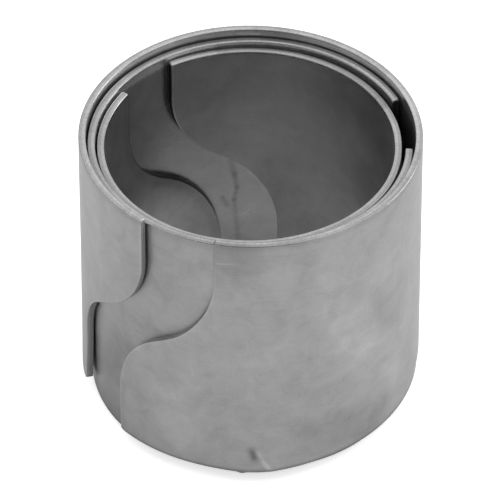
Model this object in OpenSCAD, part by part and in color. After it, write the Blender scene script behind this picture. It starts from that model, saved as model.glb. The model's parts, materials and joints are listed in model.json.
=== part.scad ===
// Nested split repair sleeves for a pipe or shaft.
// Three rolled spring-steel sleeves sit one inside the other. Each has an S-shaped slit from rim to rim,
// so it can spring open and closed, and the three slits face different ways.
// The axis of the nest is Z. The plane it stands on is Z = 0.

/* [Sleeves] */
// Length of every sleeve, rim to rim
sleeve_len = 50; // [44:1:80]
// Outside radius of the outer sleeve
outer_r = 28.75; // [26:0.25:40]
// Thickness of the rolled sheet
sheet_t = 1.25; // [0.8:0.05:1.6]
// Radius rolled onto the sheet's edges at both rims
rim_round = 0.4; // [0.1:0.05:0.4]
// Radial clearance between the outer and middle sleeves
outer_gap = 0.3; // [0.1:0.05:0.6]
// Radial clearance between the middle and inner sleeves
inner_gap = 0.55; // [0.1:0.05:0.6]

/* [Nesting] */
// How far the middle sleeve's rim sits below the outer sleeve's
middle_drop = 1.4; // [0:0.1:3]
// How far the inner sleeve's rim sits below the outer sleeve's
inner_drop = 2.2; // [0:0.1:3]
// Direction that the middle of the outer sleeve's slit faces, in degrees
outer_facing = 225; // [0:1:359]
// Direction that the middle of the middle sleeve's slit faces, in degrees
middle_facing = 349; // [0:1:359]
// Direction that the middle of the inner sleeve's slit faces, in degrees
inner_facing = 113; // [0:1:359]

/* [Slits] */
// Opening of the outer sleeve's slit, measured round the sheet
outer_slit = 14; // [4:0.5:18]
// Opening of the middle sleeve's slit, measured round the sheet
middle_slit = 13.5; // [4:0.5:18]
// Opening of the inner sleeve's slit, measured round the sheet
inner_slit = 11; // [4:0.5:18]
// Radius of the two bends of the S
bend_r = 17.5; // [12:0.5:18]
// Angle by which each bend turns the slit away from the axis
bend_angle = 60; // [30:1:65]
// Length of the straight stretch between the two bends
bend_gap = 1.8; // [0.2:0.2:4]

/* [Hidden] */
$fn = 96;
// Segments in one bend of the S, and in one rounded edge of a rim
bend_steps = 10;
round_steps = 5;
// How far the slit's cutter runs past both rims
overrun = 2;
// The cutter's inside and outside, as multiples of the sleeve's outside radius
cut_inside = 0.7;
cut_outside = 1.25;
middle_r = outer_r - sheet_t - outer_gap;
inner_r = middle_r - sheet_t - inner_gap;
// Height of each sleeve's lower rim
outer_z = max(middle_drop, inner_drop, 0);
middle_z = outer_z - middle_drop;
inner_z = outer_z - inner_drop;

// Lower half of the S line as [distance round the sheet, height], starting just below its centre
lower_half = [
    for (i = [0 : bend_steps])
        let (a = bend_angle * (1 - i / bend_steps))
        [
            -bend_gap / 2 * sin(bend_angle) - bend_r * (cos(a) - cos(bend_angle)),
            -bend_gap / 2 * cos(bend_angle) - bend_r * (sin(bend_angle) - sin(a))
        ]
];
// The upper half is the lower half turned by half a turn about the centre
upper_half = [for (i = [bend_steps : -1 : 0]) -lower_half[i]];
half_step = upper_half[0][0];
cut_top = sleeve_len / 2 + overrun;
s_line = concat([[half_step, cut_top]], upper_half, lower_half, [[-half_step, -cut_top]]);

// Quarter turn that rounds one corner of the sheet, about its own centre
function corner(centre, start) = [
    for (i = [0 : round_steps])
        let (a = start + 90 * i / round_steps)
        centre + rim_round * [cos(a), sin(a)]
];

// Section of the rolled sheet, from its inside face to its outside face
module sheet_section(r) {
    inside = r - sheet_t + rim_round;
    outside = r - rim_round;
    top = sleeve_len - rim_round;
    polygon(concat(
        corner([outside, rim_round], -90),
        corner([outside, top], 0),
        corner([inside, top], 90),
        corner([inside, rim_round], 180)
    ));
}

// One corner of the cutter's section, at a place on the S line
function cut_point(place, r, sheet_r, side) =
    let (a = (place[0] + side) / sheet_r * 180 / PI)
    [r * cos(a), r * sin(a), place[1]];

// Solid that follows the S line through the sheet, with walls square to the sheet's surface
module slit_cutter(r, opening) {
    rows = len(s_line);
    sheet_r = r - sheet_t / 2;
    corners = [
        for (place = s_line) each [
            cut_point(place, r * cut_inside, sheet_r, -opening / 2),
            cut_point(place, r * cut_outside, sheet_r, -opening / 2),
            cut_point(place, r * cut_outside, sheet_r, opening / 2),
            cut_point(place, r * cut_inside, sheet_r, opening / 2)
        ]
    ];
    sides = [
        for (row = [0 : rows - 2], k = [0 : 3])
            let (a = 4 * row + k, b = 4 * row + (k + 1) % 4)
            each [[a, b, b + 4], [a, b + 4, a + 4]]
    ];
    last = 4 * (rows - 1);
    ends = [[3, 2, 1, 0], [last, last + 1, last + 2, last + 3]];
    polyhedron(points = corners, faces = concat(sides, ends));
}

// One sleeve, with the middle of its slit facing +X and its lower rim on Z = 0
module split_sleeve(r, opening) {
    difference() {
        rotate_extrude() sheet_section(r);
        translate([0, 0, sleeve_len / 2]) slit_cutter(r, opening);
    }
}

module outer_sleeve() {
    color("silver")
        translate([0, 0, outer_z]) rotate(outer_facing) split_sleeve(outer_r, outer_slit);
}

module middle_sleeve() {
    color("darkgray")
        translate([0, 0, middle_z]) rotate(middle_facing) split_sleeve(middle_r, middle_slit);
}

module inner_sleeve() {
    color("gray")
        translate([0, 0, inner_z]) rotate(inner_facing) split_sleeve(inner_r, inner_slit);
}

outer_sleeve();
middle_sleeve();
inner_sleeve();
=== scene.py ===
"""Looks of the nested split repair sleeves: three rolled spring-steel sleeves with S-shaped slits.

Every sleeve is rebuilt as one closed sheet with burnished edges, worked out flat and then rolled up.
The CAD sleeves stay in the frame for size, place and motion. All lengths are in metres.
"""

import json
import math

import bpy
import numpy as np
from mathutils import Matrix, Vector


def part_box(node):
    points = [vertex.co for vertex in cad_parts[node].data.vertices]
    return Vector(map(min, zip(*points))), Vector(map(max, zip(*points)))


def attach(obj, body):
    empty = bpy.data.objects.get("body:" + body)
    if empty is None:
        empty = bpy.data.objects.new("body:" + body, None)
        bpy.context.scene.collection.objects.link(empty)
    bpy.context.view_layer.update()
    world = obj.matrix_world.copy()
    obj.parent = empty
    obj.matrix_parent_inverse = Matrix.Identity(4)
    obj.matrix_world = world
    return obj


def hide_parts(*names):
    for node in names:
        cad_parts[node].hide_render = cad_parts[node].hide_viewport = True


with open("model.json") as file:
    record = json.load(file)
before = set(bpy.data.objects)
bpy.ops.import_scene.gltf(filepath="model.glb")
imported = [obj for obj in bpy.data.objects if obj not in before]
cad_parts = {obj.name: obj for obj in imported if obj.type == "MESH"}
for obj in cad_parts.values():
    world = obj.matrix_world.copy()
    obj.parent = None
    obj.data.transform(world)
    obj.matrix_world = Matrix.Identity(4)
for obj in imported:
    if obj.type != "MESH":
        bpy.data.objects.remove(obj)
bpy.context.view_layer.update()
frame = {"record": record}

MM = 0.001

# Rounding of the rims' outside and inside edges, of the slit's edges, and of the sheet's four
# corners seen flat
RIM_ROUND_OUTSIDE = 0.2 * MM
RIM_ROUND_INSIDE = 0.22 * MM
SLIT_ROUND = 0.15 * MM
CORNER_ROUND = 0.5 * MM

# Width over which shearing has rolled the slit edges over
ROLL_WIDTH = 1.7 * MM

# Grid of each sheet: columns round it, rows up it, and the finer lines along its edges
COLUMNS = 360
ROWS = 110
ROUND_STEPS = 5
CORNER_STEPS = 2

# The view: the camera's angle above the level, its distance and focal length (the latter in the
# camera's own millimetres), and where it aims, to the left of the axis and below the top of the nest
ELEVATION = math.radians(41.1)
CAMERA_DISTANCE = 1.066
FOCAL_LENGTH = 452.5
AIM_LEFT = 0.1 * MM
AIM_BELOW_TOP = 25.76 * MM
TOWARDS_CAMERA = (0, -math.cos(ELEVATION), math.sin(ELEVATION))

# The room's light: it grows along SKY_SLANT from SKY_LEVEL, and SHADE_DEPTH is taken off behind the
# camera, all of it where the direction's cosine to the camera is past the second of SHADE_EDGE
SKY_SLANT = (0.15, 0.2, 0.75)
SKY_LEVEL = 0.6
SHADE_DEPTH = 0.45
SHADE_EDGE = (0.7, 0.92)

# Sizes of the steel's noises, in cells to a metre
MOTTLE_SCALE = 95.0
STAIN_SCALE = 310.0
GRAIN_SCALE = 3400.0
ROLLING_SCALE = 2600.0
RIM_GRAIN_SCALE = 2500.0

# Roughness that every sleeve shares, and how metallic the steel is
LIGHT_BAND_ROUGH = 0.3
RIM_ROUGH = 0.26
CUT_ROUGH = 0.65
METALLIC = 0.95

# Each sleeve has two slit edges: "start" where the sheet begins and "end" where it has gone round.
# at: direction of the edge at the middle of its S, in degrees; lift: how far that lies above the
# sheet's mid-height; then the two bends of the S and the straight stretch that joins them. The lengths
# are in millimetres. seed shifts the sleeve's noises and waves, so that no two sleeves are alike.
SLEEVES = {
    "outer": {
        "start": {"at": 238.4, "lift": 0.4, "bend_r": 18.3, "bend_angle": 57.3, "straight": 2.4},
        "end": {"at": 212.7, "lift": 1.0, "bend_r": 15.5, "bend_angle": 53.5, "straight": 7.0},
        "seed": 3.0,
    },
    "middle": {
        "start": {"at": 363.0, "lift": 0.4, "bend_r": 17.5, "bend_angle": 56.0, "straight": 4.0},
        "end": {"at": 335.8, "lift": 0.4, "bend_r": 17.5, "bend_angle": 56.0, "straight": 4.0},
        "seed": 11.0,
    },
    "inner": {
        "start": {"at": 124.6, "lift": 0.1, "bend_r": 19.5, "bend_angle": 58.0, "straight": 1.3},
        "end": {"at": 101.0, "lift": 1.8, "bend_r": 17.5, "bend_angle": 56.5, "straight": 4.0},
        "seed": 23.0,
    },
}


# ---------------------------------------------------------------- the sheet


def s_line(height, edge):
    """Distance round the sheet of an edge's S at a height above the sheet's middle, and its slope."""
    bend_r = edge["bend_r"] * MM
    bend_angle = math.radians(edge["bend_angle"])
    straight_h = edge["straight"] * MM / 2 * math.cos(bend_angle)
    straight_s = edge["straight"] * MM / 2 * math.sin(bend_angle)
    level = height - edge["lift"] * MM
    up = np.abs(level)
    along_bend = np.clip((up - straight_h) / bend_r, 0, math.sin(bend_angle))
    turned = np.arcsin(np.clip(math.sin(bend_angle) - along_bend, 0, 1))
    on_bend = straight_s + bend_r * (np.cos(turned) - math.cos(bend_angle))
    offset = np.where(up < straight_h, up * math.tan(bend_angle), on_bend)
    slope = np.where(up < straight_h, bend_angle, turned)
    return np.sign(level) * offset, slope


def edge_spacing():
    """Distances from an edge at which the sheet has lines of vertices: fine over the rounding."""
    turn = np.linspace(0, math.pi / 2, ROUND_STEPS + 1)
    widest = max(RIM_ROUND_OUTSIDE, RIM_ROUND_INSIDE)
    rounding = widest * (1 - np.cos(turn))
    flat = np.linspace(widest, CORNER_ROUND, CORNER_STEPS + 1)[1:]
    return np.concatenate([rounding, flat])


def round_corner(from_slit, from_rim):
    """Moves points near a corner of the sheet so that the corner is an arc. Returns the new distances
    from both edges and the distance from the outline."""
    x = np.clip(1 - from_slit / CORNER_ROUND, 0, 1)
    y = np.clip(1 - from_rim / CORNER_ROUND, 0, 1)
    new_x = x * np.sqrt(1 - y * y / 2)
    new_y = y * np.sqrt(1 - x * x / 2)
    near = (x > 0) & (y > 0)
    slit = np.where(near, CORNER_ROUND * (1 - new_x), from_slit)
    rim = np.where(near, CORNER_ROUND * (1 - new_y), from_rim)
    arc = CORNER_ROUND * (1 - np.hypot(new_x, new_y))
    return slit, rim, np.where(near, arc, np.minimum(slit, rim))


def half_thickness(from_edge, thickness, at_rim, rim_round):
    """Half of the sheet's thickness at a distance from its outline, where the edge is rounded."""
    radius = SLIT_ROUND + (rim_round - SLIT_ROUND) * at_rim
    inset = np.clip(radius - from_edge, 0, radius)
    return thickness / 2 - radius + np.sqrt(radius**2 - inset**2)


def slit_edge(sheet, height, side):
    """Distance round the sheet of one of its slit edges at a height, and how much the edge's slope
    squeezes a level distance from it."""
    offset, slope = s_line(height - sheet["length"] / 2, sheet[side])
    turn = sheet[side]["at"] - sheet["start"]["at"]
    if side == "end":
        turn += 360
    return math.radians(turn) * sheet["mid_r"] + offset, np.cos(slope)


def flat_grid(sheet):
    """The sheet worked out flat: distance round it, height, distance from its outline, and whether
    the nearest edge is a rim (1) or a slit edge (0), as grids. Rows run up the sheet and columns run
    round it from one side of the slit to the other."""
    spacing = edge_spacing()
    length = sheet["length"]
    middle_rows = np.linspace(CORNER_ROUND, length - CORNER_ROUND, ROWS)[1:-1]
    row_height = np.concatenate([spacing, middle_rows, length - spacing[::-1]])
    share = np.linspace(0, 1, COLUMNS)[1:-1]

    from_rim = np.minimum(row_height, length - row_height)[:, None]
    top_half = (row_height > length / 2)[:, None]
    beside_slit = np.broadcast_to(spacing, (len(row_height), len(spacing)))
    slit, rim, outline = round_corner(beside_slit, from_rim)
    height_near = np.where(top_half, length - rim, rim)

    start, squeeze = slit_edge(sheet, height_near, "start")
    left = start + slit / squeeze
    end, squeeze = slit_edge(sheet, height_near, "end")
    right = end - slit / squeeze

    start, squeeze = slit_edge(sheet, row_height[:, None], "start")
    low = start + CORNER_ROUND / squeeze
    end, squeeze = slit_edge(sheet, row_height[:, None], "end")
    high = end - CORNER_ROUND / squeeze
    middle = low + (high - low) * share[None, :]
    height_middle = np.broadcast_to(row_height[:, None], middle.shape)
    outline_middle = np.broadcast_to(from_rim, middle.shape)

    nearer = np.clip(0.5 + (slit - rim) / CORNER_ROUND, 0, 1)
    nearer_middle = np.ones_like(middle)

    around = np.concatenate([left, middle, right[:, ::-1]], axis=1)
    height = np.concatenate([height_near, height_middle, height_near[:, ::-1]], axis=1)
    from_edge = np.concatenate([outline, outline_middle, outline[:, ::-1]], axis=1)
    at_rim = np.concatenate([nearer, nearer_middle, nearer[:, ::-1]], axis=1)
    return around, height, np.maximum(from_edge, 0), at_rim


def roll_up(sheet, around, height, offset):
    """Points of the flat sheet, offset from its middle surface, rolled round Z."""
    angle = around / sheet["mid_r"] + math.radians(sheet["start"]["at"])
    r = sheet["mid_r"] + offset
    return np.stack([r * np.cos(angle), r * np.sin(angle), sheet["base_z"] + height], axis=-1)


# ---------------------------------------------------------------- out-of-round shape


def smooth_step(value):
    """Rises smoothly from 0 to 1 as the value goes from 0 to 1."""
    t = np.clip(value, 0, 1)
    return t * t * (3 - 2 * t)


def spring_off(sheet, around, height, side, reach):
    """How much of a slit edge's stand-off is felt at a point: 1 at the edge, 0 at its reach."""
    edge_at, _ = slit_edge(sheet, height, side)
    far = np.abs(around - edge_at) / reach
    return np.clip(1 - far, 0, 1) ** 3


def rolled_edge(sheet, around, height, side):
    """How much of the roll of a sheared slit edge is felt at a point: 1 at the edge, 0 in the sheet."""
    edge_at, squeeze = slit_edge(sheet, height, side)
    far = np.abs(around - edge_at) * squeeze / ROLL_WIDTH
    return np.clip(1 - far, 0, 1) ** 2


def swell(sheet, around, towards, reach):
    """A smooth bulge of height 1 towards a direction, gone at its reach, both in degrees."""
    angle = np.degrees(around / sheet["mid_r"]) + sheet["start"]["at"]
    off = (angle - towards + 180) % 360 - 180
    return np.clip(1 - (off / reach) ** 2, 0, 1) ** 2


def round_bump(around, height, centre, radii):
    """A smooth hill of height 1 at a centre on the flat sheet."""
    x = (around - centre[0]) / radii[0]
    y = (height - centre[1]) / radii[1]
    return np.exp(-(x * x) - y * y)


def ridge(around, height, start, end, width):
    """A smooth ridge of height 1 along a line on the flat sheet."""
    run = np.array(end) - np.array(start)
    x = around - start[0]
    y = height - start[1]
    share = np.clip((x * run[0] + y * run[1]) / (run @ run), 0, 1)
    away = np.hypot(x - share * run[0], y - share * run[1])
    return np.exp(-((away / width) ** 2))


def waviness(sheet, around, height):
    """Shallow unevenness left by rolling, a few hundredths of a millimetre."""
    angle = around / sheet["mid_r"] + sheet["seed"]
    up = height / sheet["length"]
    slow = np.sin(3 * angle + 2.1 * up) + np.sin(5 * angle - 3.3 * up + 1.7)
    quick = np.sin(11 * angle + 5.0 * up + 0.6) * np.sin(6.5 * up + sheet["seed"])
    return MM * (0.012 * slow + 0.008 * quick)


def at_angle(sheet, degrees):
    """Distance round the sheet of a direction, counted from where the sheet starts."""
    turn = (degrees - sheet["start"]["at"]) % 360
    return math.radians(turn) * sheet["mid_r"]


def outer_shape(sheet, around, height):
    """The outer sleeve: its free tongue springs off, its lower end leads in, and its front is dented."""
    angle = around / sheet["mid_r"] + math.radians(sheet["start"]["at"])
    body = 0.06 + 0.04 * np.cos(angle) - 0.1 * np.sin(2 * angle)
    tongue = spring_off(sheet, around, height, "end", 36 * MM)
    tongue *= 0.1 + 0.17 * smooth_step((height - 25 * MM) / (12 * MM))
    flare = 0.25 * spring_off(sheet, around, height, "end", 20 * MM)
    flare *= 1 - smooth_step(height / (12 * MM))
    roll = -0.2 * rolled_edge(sheet, around, height, "start")
    roll += -0.08 * rolled_edge(sheet, around, height, "end")
    lead_in = -0.6 * (1 - smooth_step(height / (4.5 * MM))) * swell(sheet, around, 328, 56)
    dent_at = at_angle(sheet, 269.5)
    lip = 0.65 * round_bump(around, height, (dent_at + 1.5 * MM, -1 * MM), (6.5 * MM, 4.5 * MM))
    pit = -0.4 * round_bump(around, height, (dent_at + 0.7 * MM, 4.3 * MM), (0.9 * MM, 1.2 * MM))
    fold = 0.15 * ridge(
        around, height, (dent_at + 2 * MM, 3.6 * MM), (dent_at + 3.8 * MM, 0.8 * MM), 0.7 * MM
    )
    offset = body + tongue + flare + roll + lead_in + lip + pit + fold
    return MM * offset + waviness(sheet, around, height)


def outer_rise(sheet, around, height):
    """How far the lower rim of the outer sleeve stands above its level: its free corner is pulled up,
    and there is a nib beside the dent."""
    corner = spring_off(sheet, around, height, "end", 22 * MM) * np.clip(1 - height / (12 * MM), 0, 1)
    nib = round_bump(around, height, (at_angle(sheet, 267.0), 0), (0.6 * MM, 0.8 * MM))
    return MM * (1.3 * corner - 0.3 * nib)


def middle_shape(sheet, around, height):
    """The middle sleeve: pressed out against the outer one at the front right, its end bent back in."""
    body = 0.05 + 0.2 * swell(sheet, around, 315, 60)
    end = -0.15 * spring_off(sheet, around, height, "end", 14 * MM)
    return MM * (body + end) + waviness(sheet, around, height)


def inner_shape(sheet, around, height):
    """The inner sleeve: sits over to the left, with both slit edges sprung out against the middle one."""
    angle = around / sheet["mid_r"] + math.radians(sheet["start"]["at"])
    body = 0.1 - 0.2 * np.cos(angle) + 0.2 * np.clip(-np.sin(angle), 0, 1)
    body += 0.18 * swell(sheet, around, 328, 34)
    start = 0.2 * spring_off(sheet, around, height, "start", 22 * MM)
    start *= 1 - smooth_step((height - 28 * MM) / (14 * MM))
    end = 0.18 * spring_off(sheet, around, height, "end", 22 * MM)
    roll = 0.03 * rolled_edge(sheet, around, height, "end")
    roll += 0.05 * rolled_edge(sheet, around, height, "start")
    return MM * (body + start + end + roll) + waviness(sheet, around, height)


SHAPES = {"outer": outer_shape, "middle": middle_shape, "inner": inner_shape}
RISES = {"outer": outer_rise}


# ---------------------------------------------------------------- mesh


def grid_faces(index, flip):
    """Quads over a grid of vertex numbers."""
    a, b, c, d = index[:-1, :-1], index[:-1, 1:], index[1:, 1:], index[1:, :-1]
    quads = np.stack([a, b, c, d], axis=-1).reshape(-1, 4)
    return quads[:, ::-1] if flip else quads


def outline_of(index):
    """Vertex numbers round a grid's outline, once round, anticlockwise seen from outside."""
    return np.concatenate([index[0, :-1], index[:-1, -1], index[-1, :0:-1], index[:0:-1, 0]])


def add_attribute(mesh, name, kind, values):
    """A value or a vector for every vertex."""
    attribute = mesh.attributes.new(name, kind, "POINT")
    key = "vector" if kind == "FLOAT_VECTOR" else "value"
    attribute.data.foreach_set(key, np.asarray(values, np.float32).ravel())


def sheet_object(name, sheet, surface_shape, rim_rise):
    """One sleeve as a closed mesh. It keeps for the material the flat coordinates, the distances from
    its outline and from the start edge of its slit, and the side of the sheet (1 is the inside)."""
    around, height, from_edge, at_rim = flat_grid(sheet)
    shape = surface_shape(sheet, around, height)
    if rim_rise:
        height = height + rim_rise(sheet, around, height)
    outer_half = half_thickness(from_edge, sheet["thickness"], at_rim, RIM_ROUND_OUTSIDE)
    inner_half = half_thickness(from_edge, sheet["thickness"], at_rim, RIM_ROUND_INSIDE)
    outside = roll_up(sheet, around, height, shape + outer_half)
    inside = roll_up(sheet, around, height, shape - inner_half)
    count = around.size
    outside_index = np.arange(count).reshape(around.shape)
    inside_index = outside_index + count
    rim_out = outline_of(outside_index)
    rim_in = rim_out + count
    wall = np.stack([rim_out, rim_in, np.roll(rim_in, -1), np.roll(rim_out, -1)], axis=-1)
    faces = np.concatenate([grid_faces(outside_index, False), grid_faces(inside_index, True), wall])
    points = np.concatenate([outside.reshape(-1, 3), inside.reshape(-1, 3)])

    mesh = bpy.data.meshes.new(name)
    mesh.from_pydata(points.tolist(), [], faces.tolist())
    mesh.update()
    mesh.shade_smooth()
    flat = np.stack([around, np.full_like(around, sheet["seed"]), height], axis=-1).reshape(-1, 3)
    add_attribute(mesh, "flat", "FLOAT_VECTOR", np.concatenate([flat, flat]))
    edge = from_edge.reshape(-1)
    add_attribute(mesh, "edge", "FLOAT", np.concatenate([edge, edge]))
    start_at, squeeze = slit_edge(sheet, height, "start")
    from_start = ((around - start_at) * squeeze).reshape(-1)
    add_attribute(mesh, "from_start", "FLOAT", np.concatenate([from_start, from_start]))
    side = np.concatenate([np.zeros(count), np.ones(count)])
    add_attribute(mesh, "inner_side", "FLOAT", side)
    piece = bpy.data.objects.new(name, mesh)
    bpy.context.scene.collection.objects.link(piece)
    return piece


# ---------------------------------------------------------------- materials


class Nodes:
    """Short spellings for building a material's node graph."""

    def __init__(self, tree):
        self.tree = tree

    def add(self, kind, **settings):
        node = self.tree.nodes.new(kind)
        for key, value in settings.items():
            setattr(node, key, value)
        return node

    def put(self, socket, value):
        if isinstance(value, bpy.types.NodeSocket):
            self.tree.links.new(value, socket)
        else:
            socket.default_value = value

    def math(self, operation, *values, clamp=False):
        node = self.add("ShaderNodeMath", operation=operation, use_clamp=clamp)
        for socket, value in zip(node.inputs, values):
            self.put(socket, value)
        return node.outputs[0]

    def vector(self, operation, *values, output="Vector"):
        node = self.add("ShaderNodeVectorMath", operation=operation)
        for socket, value in zip(node.inputs, values):
            self.put(socket, value)
        return node.outputs[output]

    def component(self, vector, axis):
        node = self.add("ShaderNodeSeparateXYZ")
        self.put(node.inputs[0], vector)
        return node.outputs[axis]

    def attribute(self, name, output="Fac"):
        return self.add("ShaderNodeAttribute", attribute_name=name).outputs[output]

    def noise(self, place, scale, detail=2.0, distortion=0.0):
        """Noise between about -1 and 1."""
        node = self.add("ShaderNodeTexNoise")
        self.put(node.inputs["Vector"], place)
        node.inputs["Scale"].default_value = scale
        node.inputs["Detail"].default_value = detail
        node.inputs["Distortion"].default_value = distortion
        centred = self.math("SUBTRACT", node.outputs["Fac"], 0.5)
        return self.math("MULTIPLY", centred, 3.0)

    def ramp(self, value, low, high):
        """0 below low, 1 above high, smooth between."""
        node = self.add("ShaderNodeMapRange", interpolation_type="SMOOTHSTEP")
        self.put(node.inputs["Value"], value)
        node.inputs["From Min"].default_value = low
        node.inputs["From Max"].default_value = high
        return node.outputs[0]

    def mix(self, share, first, second):
        """first where share is 0, second where it is 1."""
        node = self.add("ShaderNodeMix", data_type="FLOAT")
        self.put(node.inputs[0], share)
        self.put(node.inputs[2], first)
        self.put(node.inputs[3], second)
        return node.outputs[0]

    def total(self, *terms):
        """Sum of (value, weight) terms."""
        value = 0.0
        for term, weight in terms:
            value = self.math("MULTIPLY_ADD", term, weight, value)
        return value

    def line(self, flat, start, end, width):
        """1 on a line across the flat sheet, 0 away from it."""
        run = ((end[0] - start[0]) * MM, 0.0, (end[1] - start[1]) * MM)
        length_2 = run[0] ** 2 + run[2] ** 2
        level = self.vector("MULTIPLY", flat, (1, 0, 1))
        from_start = self.vector("SUBTRACT", level, (start[0] * MM, 0, start[1] * MM))
        dot = self.vector("DOT_PRODUCT", from_start, run, output="Value")
        share = self.math("DIVIDE", dot, length_2, clamp=True)
        on_line = self.add("ShaderNodeVectorMath", operation="SCALE")
        on_line.inputs[0].default_value = run
        self.put(on_line.inputs["Scale"], share)
        away = self.vector("DISTANCE", from_start, on_line.outputs[0], output="Value")
        return self.ramp(away, width * MM, 0.0)


def steel(name, look, marks):
    """Rolled steel: mottled and finely grained outside, smoother inside with a painted light band under
    the upper rim, sheared slit faces darker with painted shade for the gaps beside them, burnished edges,
    painted shade on the rims, along the bottom edge, under the top rim and inside along the start edge,
    and marks along lines."""
    material = bpy.data.materials.new(name)
    material.use_nodes = True
    n = Nodes(material.node_tree)
    shader = material.node_tree.nodes["Principled BSDF"]

    flat = n.attribute("flat", "Vector")
    edge = n.attribute("edge")
    side = n.attribute("inner_side")
    stretched = n.vector("MULTIPLY", flat, (0.05, 1.0, 1.0))

    mottle = n.noise(flat, MOTTLE_SCALE, 3.0, 0.4)
    stain = n.noise(flat, STAIN_SCALE, 4.0, 0.8)
    grain = n.noise(flat, GRAIN_SCALE, 2.0)
    rolling = n.noise(stretched, ROLLING_SCALE, 2.0)
    rim_grain = n.noise(n.add("ShaderNodeTexCoord").outputs["Object"], RIM_GRAIN_SCALE, 2.0)

    # Where each effect is felt, from 0 to 1
    inside = n.ramp(side, 0.4, 0.6)
    height = n.component(flat, "Z")
    level = n.ramp(height, 4 * MM, 34 * MM)
    # Painted shade along the bottom edge, standing for the shading of its rounded lower edge
    foot_shade = n.ramp(height, 0.9 * MM, 0.2 * MM)
    outside = n.math("SUBTRACT", 1.0, inside)
    # Painted shade on the outside just under the top rim, standing for the shading of the rolled upper
    # edge
    shoulder_shade = n.math("MULTIPLY", n.ramp(height, 48.2 * MM, 49.7 * MM), outside)
    # Sheared slit faces: darker steel, with the inside half darker still as painted shade for the gap
    # beside it
    at_end = n.ramp(n.component(flat, "X"), 60 * MM, 90 * MM)
    cut_outside = n.mix(at_end, look["cut_start"][0], look["cut_end"][0])
    cut_inside_shade = n.mix(at_end, look["cut_start"][1], look["cut_end"][1])
    cut_tone_and_shade = n.mix(n.ramp(side, 0.35, 0.6), cut_outside, cut_inside_shade)
    # Painted shade inside along the slit's start edge, standing for the shading of the curled edge
    curl_shade = n.math("MULTIPLY", inside, n.ramp(n.attribute("from_start"), 2.3 * MM, 1.2 * MM))
    between = n.math("MULTIPLY", n.math("MULTIPLY", side, n.math("SUBTRACT", 1.0, side)), 4.0)
    normal = n.add("ShaderNodeNewGeometry").outputs["Normal"]
    upright = n.vector("DOT_PRODUCT", normal, (0, 0, 1), output="Value")
    on_rim = n.ramp(n.math("ABSOLUTE", upright), 0.35, 0.75)
    on_cut = n.math("MULTIPLY", n.ramp(between, 0.0, 0.25), n.math("SUBTRACT", 1.0, on_rim))
    burnish = n.math("SUBTRACT", n.ramp(edge, 0.55 * MM, 0.12 * MM), on_cut, clamp=True)
    # Band inside under the upper rim: painted light where the wall catches light, with its own roughness
    painted_light_band = n.math("MULTIPLY", inside, n.ramp(height, 47.4 * MM, 48.8 * MM))
    painted_light_band = n.math("MULTIPLY", painted_light_band, n.ramp(edge, 0.1 * MM, 0.25 * MM))

    # Tone
    # The inside tone is set lighter than the outside one: painted light for the dim inside of the nest
    plain = n.mix(inside, look["outside"], look["inside"])
    plain = n.mix(painted_light_band, plain, look["painted_light_band"])
    variation = n.total((mottle, 0.16), (stain, 0.13), (grain, 0.1), (rolling, 0.03))
    tone = n.math("MULTIPLY", plain, n.math("ADD", 1.0, variation))
    # Painted light and shade towards the bottom of each surface, fading out up the sheet
    low_light_and_shade = n.mix(inside, look["low"], look["low_inside"])
    low_light_and_shade = n.math("MULTIPLY", low_light_and_shade, n.math("SUBTRACT", 1.0, level))
    tone = n.math("MULTIPLY", tone, n.math("ADD", 1.0, low_light_and_shade))
    tone = n.math("MULTIPLY", tone, n.math("MULTIPLY_ADD", burnish, 0.04, 1.0))
    # Rims darker, the middle and inner ones most: painted shade where the outer sleeve shades them;
    # rim_grain is the rims' own grain
    rim_grain_and_shade = n.math("MULTIPLY_ADD", rim_grain, 0.16, look["rim"])
    tone = n.math("MULTIPLY", tone, n.math("MULTIPLY_ADD", on_rim, rim_grain_and_shade, 1.0))
    tone = n.mix(on_cut, tone, n.math("MULTIPLY_ADD", grain, 0.02, cut_tone_and_shade))
    # Painted shade along the bottom edge, under the top rim and inside along the slit's start edge
    tone = n.math("MULTIPLY", tone, n.math("MULTIPLY_ADD", foot_shade, -0.4, 1.0))
    tone = n.math("MULTIPLY", tone, n.math("MULTIPLY_ADD", shoulder_shade, -0.13, 1.0))
    tone = n.math("MULTIPLY", tone, n.math("MULTIPLY_ADD", curl_shade, look["curl_shade"], 1.0))
    shares = {"inside": inside, "outside": outside, "edge": 1.0}
    # Lines from MARKS: scratches, score marks, and painted light and shade
    for surface, start, end, width, gain in marks:
        mark = n.math("MULTIPLY", n.line(flat, start, end, width), shares[surface])
        tone = n.math("MULTIPLY", tone, n.math("MULTIPLY_ADD", mark, gain, 1.0))

    # Roughness
    rough = n.mix(inside, look["rough"], look["rough_inside"])
    rough = n.mix(painted_light_band, rough, LIGHT_BAND_ROUGH)
    rough = n.mix(on_rim, rough, RIM_ROUGH)
    rough = n.math("ADD", rough, n.total((mottle, 0.02), (stain, 0.025), (grain, 0.02)))
    rough = n.math("MULTIPLY_ADD", burnish, -0.08, rough)
    rough = n.mix(on_cut, rough, CUT_ROUGH)

    colour = n.add("ShaderNodeCombineColor")
    for channel in range(3):
        n.put(colour.inputs[channel], tone)
    n.put(shader.inputs["Base Color"], colour.outputs[0])
    n.put(shader.inputs["Roughness"], rough)
    shader.inputs["Metallic"].default_value = METALLIC

    # Relief
    relief = n.total((grain, 0.006), (rolling, 0.003), (stain, 0.012))
    bump = n.add("ShaderNodeBump")
    bump.inputs["Strength"].default_value = 1.0
    bump.inputs["Distance"].default_value = 1.0 * MM
    n.put(bump.inputs["Height"], relief)
    n.put(shader.inputs["Normal"], bump.outputs["Normal"])
    return material


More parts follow.
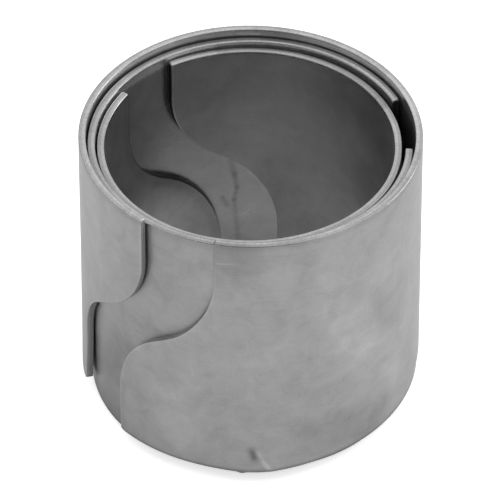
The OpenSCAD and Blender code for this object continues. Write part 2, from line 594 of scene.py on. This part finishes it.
# Looks of each sleeve. outside and inside are tones, and so is the band inside the upper rim; inside is
# lighter than outside as painted light for the dim inside of the nest, and the band is painted light where
# the wall under the rim catches light. cut_start and cut_end are the tones of the outside and the inside
# half
# of each sheared slit face: darker sheared steel, darkened further as painted shade for the gap beside it,
# most on the inside half. The other gains are painted shade and light: rim on the rims, the curl gain
# inside along the slit's start edge, and low and low_inside towards the bottom of the outside and of the
# inside.
LOOKS = {
    "outer": {
        "outside": 0.405,
        "inside": 0.44,
        "rim": -0.13,
        "cut_start": (0.32, 0.06),
        "cut_end": (0.4, 0.33),
        "curl_shade": 0.0,
        "painted_light_band": 0.75,
        "low": 0.07,
        "low_inside": 0.0,
        "rough": 0.4,
        "rough_inside": 0.3,
    },
    "middle": {
        "outside": 0.385,
        "inside": 0.46,
        "rim": -0.26,
        "cut_start": (0.08, 0.05),
        "cut_end": (0.08, 0.05),
        "curl_shade": 0.0,
        "painted_light_band": 0.98,
        "low": -0.06,
        "low_inside": 0.42,
        "rough": 0.4,
        "rough_inside": 0.25,
    },
    "inner": {
        "outside": 0.38,
        "inside": 0.44,
        "rim": -0.22,
        "cut_start": (0.02, 0.02),
        "cut_end": (0.02, 0.02),
        "curl_shade": -0.12,
        "painted_light_band": 0.42,
        "low": 0.0,
        "low_inside": 0.02,
        "rough": 0.4,
        "rough_inside": 0.32,
    },
}
# Scratches, score marks, and painted light and shade as lines on the flat sheet, in millimetres: (surface,
# from, to, half-width, gain), where a place is (distance round from the sheet's start, height). A line on
# the "edge" shows on both surfaces and on the rim between them.
MARKS = {
    "outer": [
        # Painted shade in the pit of the dent, then a painted highlight along the fold beside it
        ("outside", (15.5, 4.4), (16.1, 2.9), 1.5, -0.3),
        ("outside", (15.8, 4.0), (16.1, 3.1), 0.8, -0.35),
        ("outside", (16.8, 4.0), (18.3, 1.0), 0.7, 0.18),
        ("outside", (17.6, 2.2), (18.4, 0.9), 0.8, 0.15),
        ("outside", (9.9, 45.8), (13.1, 46.2), 0.16, 0.3),
        ("outside", (-8.6, 0.0), (-8.6, 11.0), 1.4, -0.12),
        # Painted shade on the front wall under the top rim
        ("outside", (10.0, 47.2), (14.5, 47.2), 8.0, -0.27),
        # Broad painted light on the front and right, and painted shade low on the front (the last line)
        ("outside", (28.0, 36.0), (33.0, 24.0), 8.0, 0.14),
        ("outside", (37.0, 20.0), (42.0, 12.0), 7.0, 0.12),
        ("outside", (0.0, 12.0), (3.0, 5.0), 7.0, 0.12),
        ("outside", (24.0, 8.0), (38.0, 5.0), 6.0, -0.19),
        # Painted reflection: a bright streak inside at the back, under the rim
        ("inside", (102.5, 49.1), (106.0, 49.1), 0.5, 0.4),
        # Painted shade on the rim at the front, and painted light on the rim at the right
        ("edge", (8.0, 50.0), (24.0, 50.0), 1.0, -0.12),
        ("edge", (56.0, 50.0), (76.0, 50.0), 1.4, 0.14),
    ],
    "middle": [
        ("inside", (43.9, 23.6), (43.2, 20.5), 1.1, -0.2),
        ("inside", (43.2, 20.5), (42.8, 17.5), 0.8, -0.25),
        ("inside", (42.8, 17.5), (43.3, 14.7), 0.7, -0.25),
        ("inside", (43.3, 14.7), (42.6, 6.0), 0.8, -0.2),
        ("inside", (45.4, 15.6), (44.5, 13.6), 0.9, -0.25),
        # Painted shade on the middle sleeve low in the outer's slit, where the outer sleeve shades it
        ("outside", (100.5, 19.0), (95.5, 11.0), 6.0, -0.2),
    ],
    "inner": [
        ("inside", (137.0, 15.0), (137.0, 25.0), 9.0, -0.2),
        ("inside", (4.0, 16.0), (-6.0, 10.0), 9.0, 0.22),
        ("inside", (5.5, 19.0), (1.0, 15.0), 7.0, 0.18),
        # Painted shade inside below the upper bend of the start edge's S
        ("inside", (2.4, 25.5), (-4.0, 21.5), 3.2, -0.2),
        ("inside", (148.0, 32.0), (149.0, 44.0), 9.0, -0.16),
        ("inside", (123.0, 46.0), (112.0, 43.0), 8.0, -0.2),
        # Painted shade on the rim at the back right, where the outer sleeve shades it
        ("edge", (146.0, 50.0), (112.0, 50.0), 1.0, -0.2),
    ],
}


# ---------------------------------------------------------------- pieces


def build_sleeves():
    """Builds each sleeve to its CAD sleeve's radius, length and height, and lets it stand for that one."""
    record = frame["record"]
    bore_r = next(m for m in record["mounts"] if m["name"] == "pipe_seat")["dims"]["r_mm"] * MM
    inner_low, inner_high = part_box("inner_sleeve")
    thickness = (inner_high.x - inner_low.x) / 2 - bore_r
    for body, features in SLEEVES.items():
        node = body + "_sleeve"
        low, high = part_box(node)
        sheet = dict(features)
        sheet["thickness"] = thickness
        sheet["mid_r"] = (high.x - low.x) / 2 - thickness / 2
        sheet["length"] = high.z - low.z
        sheet["base_z"] = low.z
        piece = sheet_object(body + "_split_sleeve", sheet, SHAPES[body], RISES.get(body))
        piece.data.materials.append(steel(body + "_steel", LOOKS[body], MARKS[body]))
        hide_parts(node)
        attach(piece, body)


build_sleeves()


# ---------------------------------------------------------------- stage


def camera():
    """A long lens from the front, looking down into the nest."""
    data = bpy.data.cameras.new("camera")
    data.lens = FOCAL_LENGTH
    data.sensor_width = 36
    data.clip_start = 0.1
    data.clip_end = 10
    eye = bpy.data.objects.new("camera", data)
    bpy.context.scene.collection.objects.link(eye)
    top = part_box("outer_sleeve")[1].z
    target = Vector((-AIM_LEFT, 0, top - AIM_BELOW_TOP))
    eye.location = target + Vector(TOWARDS_CAMERA) * CAMERA_DISTANCE
    eye.rotation_euler = (math.pi / 2 - ELEVATION, 0, 0)
    bpy.context.scene.camera = eye


def area_light(name, place, aim, size, power):
    """A square soft lamp at a place, pointed at its aim."""
    data = bpy.data.lights.new(name, "AREA")
    data.shape = "SQUARE"
    data.size = size
    data.energy = power
    lamp = bpy.data.objects.new(name, data)
    bpy.context.scene.collection.objects.link(lamp)
    lamp.location = place
    lamp.rotation_mode = "QUATERNION"
    lamp.rotation_quaternion = (Vector(aim) - Vector(place)).to_track_quat("-Z", "Y")


def studio():
    """A soft white room, brightest above, behind and to the right, with a darker patch behind the
    camera, over a white table, and one lamp at the right."""
    scene = bpy.context.scene
    scene.view_settings.view_transform = "Standard"
    world = bpy.data.worlds.new("studio")
    world.use_nodes = True
    n = Nodes(world.node_tree)
    ray = n.add("ShaderNodeTexCoord").outputs["Generated"]
    slant = n.vector("DOT_PRODUCT", ray, SKY_SLANT, output="Value")
    towards_camera = n.vector("DOT_PRODUCT", ray, TOWARDS_CAMERA, output="Value")
    shade = n.math("MULTIPLY", n.ramp(towards_camera, *SHADE_EDGE), -SHADE_DEPTH)
    background = world.node_tree.nodes["Background"]
    background.inputs["Color"].default_value = (1, 1, 1, 1)
    n.put(background.inputs["Strength"], n.math("ADD", n.math("ADD", slant, SKY_LEVEL), shade))
    scene.world = world

    bpy.ops.mesh.primitive_plane_add(size=4, location=(0, 0, 0))
    floor = bpy.context.object
    floor.name = "floor"
    paint = bpy.data.materials.new("floor_paint")
    paint.use_nodes = True
    shader = paint.node_tree.nodes["Principled BSDF"]
    shader.inputs["Base Color"].default_value = (0.85, 0.85, 0.85, 1)
    shader.inputs["Roughness"].default_value = 0.9
    shader.inputs["Emission Color"].default_value = (1, 1, 1, 1)
    n = Nodes(paint.node_tree)
    seen = n.add("ShaderNodeLightPath").outputs["Is Camera Ray"]
    n.put(shader.inputs["Emission Strength"], n.math("MULTIPLY", seen, 0.65))
    floor.data.materials.append(paint)
    area_light("key", (0.88, 0.3, 0.4), (0, 0, 0.03), 0.5, 2.4)


camera()
studio()
